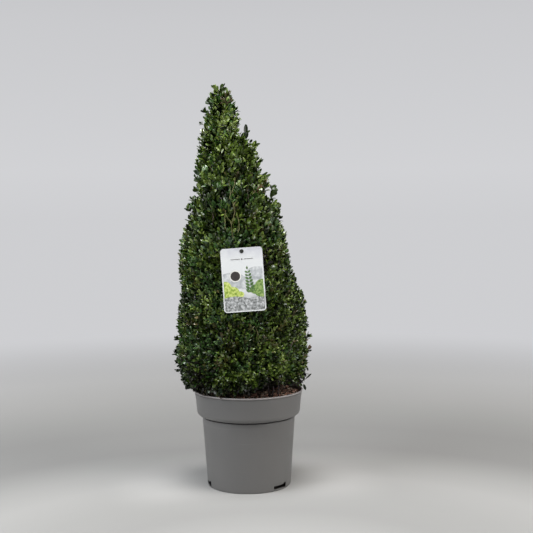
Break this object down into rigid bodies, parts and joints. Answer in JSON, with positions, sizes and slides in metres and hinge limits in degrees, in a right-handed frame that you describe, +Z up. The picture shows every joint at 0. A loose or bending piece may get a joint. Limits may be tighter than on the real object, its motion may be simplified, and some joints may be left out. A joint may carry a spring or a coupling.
{
  "type": "potted boxwood cone topiary",
  "caption": "Clipped boxwood cone leaning a little to one side, standing in a round collared nursery pot, with an unlettered printed hang card on its front.",
  "frame": {"origin": "on the pot's axis, on the flat pad in the middle of its underside", "axes": "+Z up the plant, -Y the front with the card, +X the right-hand side with the crown's shoulder"},
  "size_m": [0.26, 0.2559, 0.782],
  "materials": {
    "pot_plastic": "satin taupe-grey moulded polypropylene with faint scuffs",
    "bark_compost": "moist red-brown bark compost",
    "bark": "dull grey-brown bark with fine lengthwise furrows",
    "foliage": "glossy dark-green leaves with fresher tips",
    "label_card": "printed semi-gloss plastic sheet",
    "label_tie": "dark green-black plastic"
  },
  "bodies": {
    "root": {"crown_belly_front": "foliage", "crown_belly_left": "foliage", "crown_belly_right": "foliage", "crown_neck": "foliage", "crown_shoulder_right": "foliage", "crown_shoulder_shoot": "foliage", "crown_skirt_back_left": "foliage", "crown_skirt_back_right": "foliage", "crown_skirt_front_left": "foliage", "crown_skirt_front_right": "foliage", "crown_spire_foot": "foliage", "crown_spire_tip": "foliage", "crown_waist_left": "foliage", "crown_waist_right": "foliage", "label_card": "label_card", "label_tie": "label_tie", "pot": "pot_plastic", "potting_soil": "bark_compost", "stem_back": "bark", "stem_front": "bark", "stem_left": "bark", "stem_right": "bark", "trunk": "bark"}
  },
  "joints": []
}
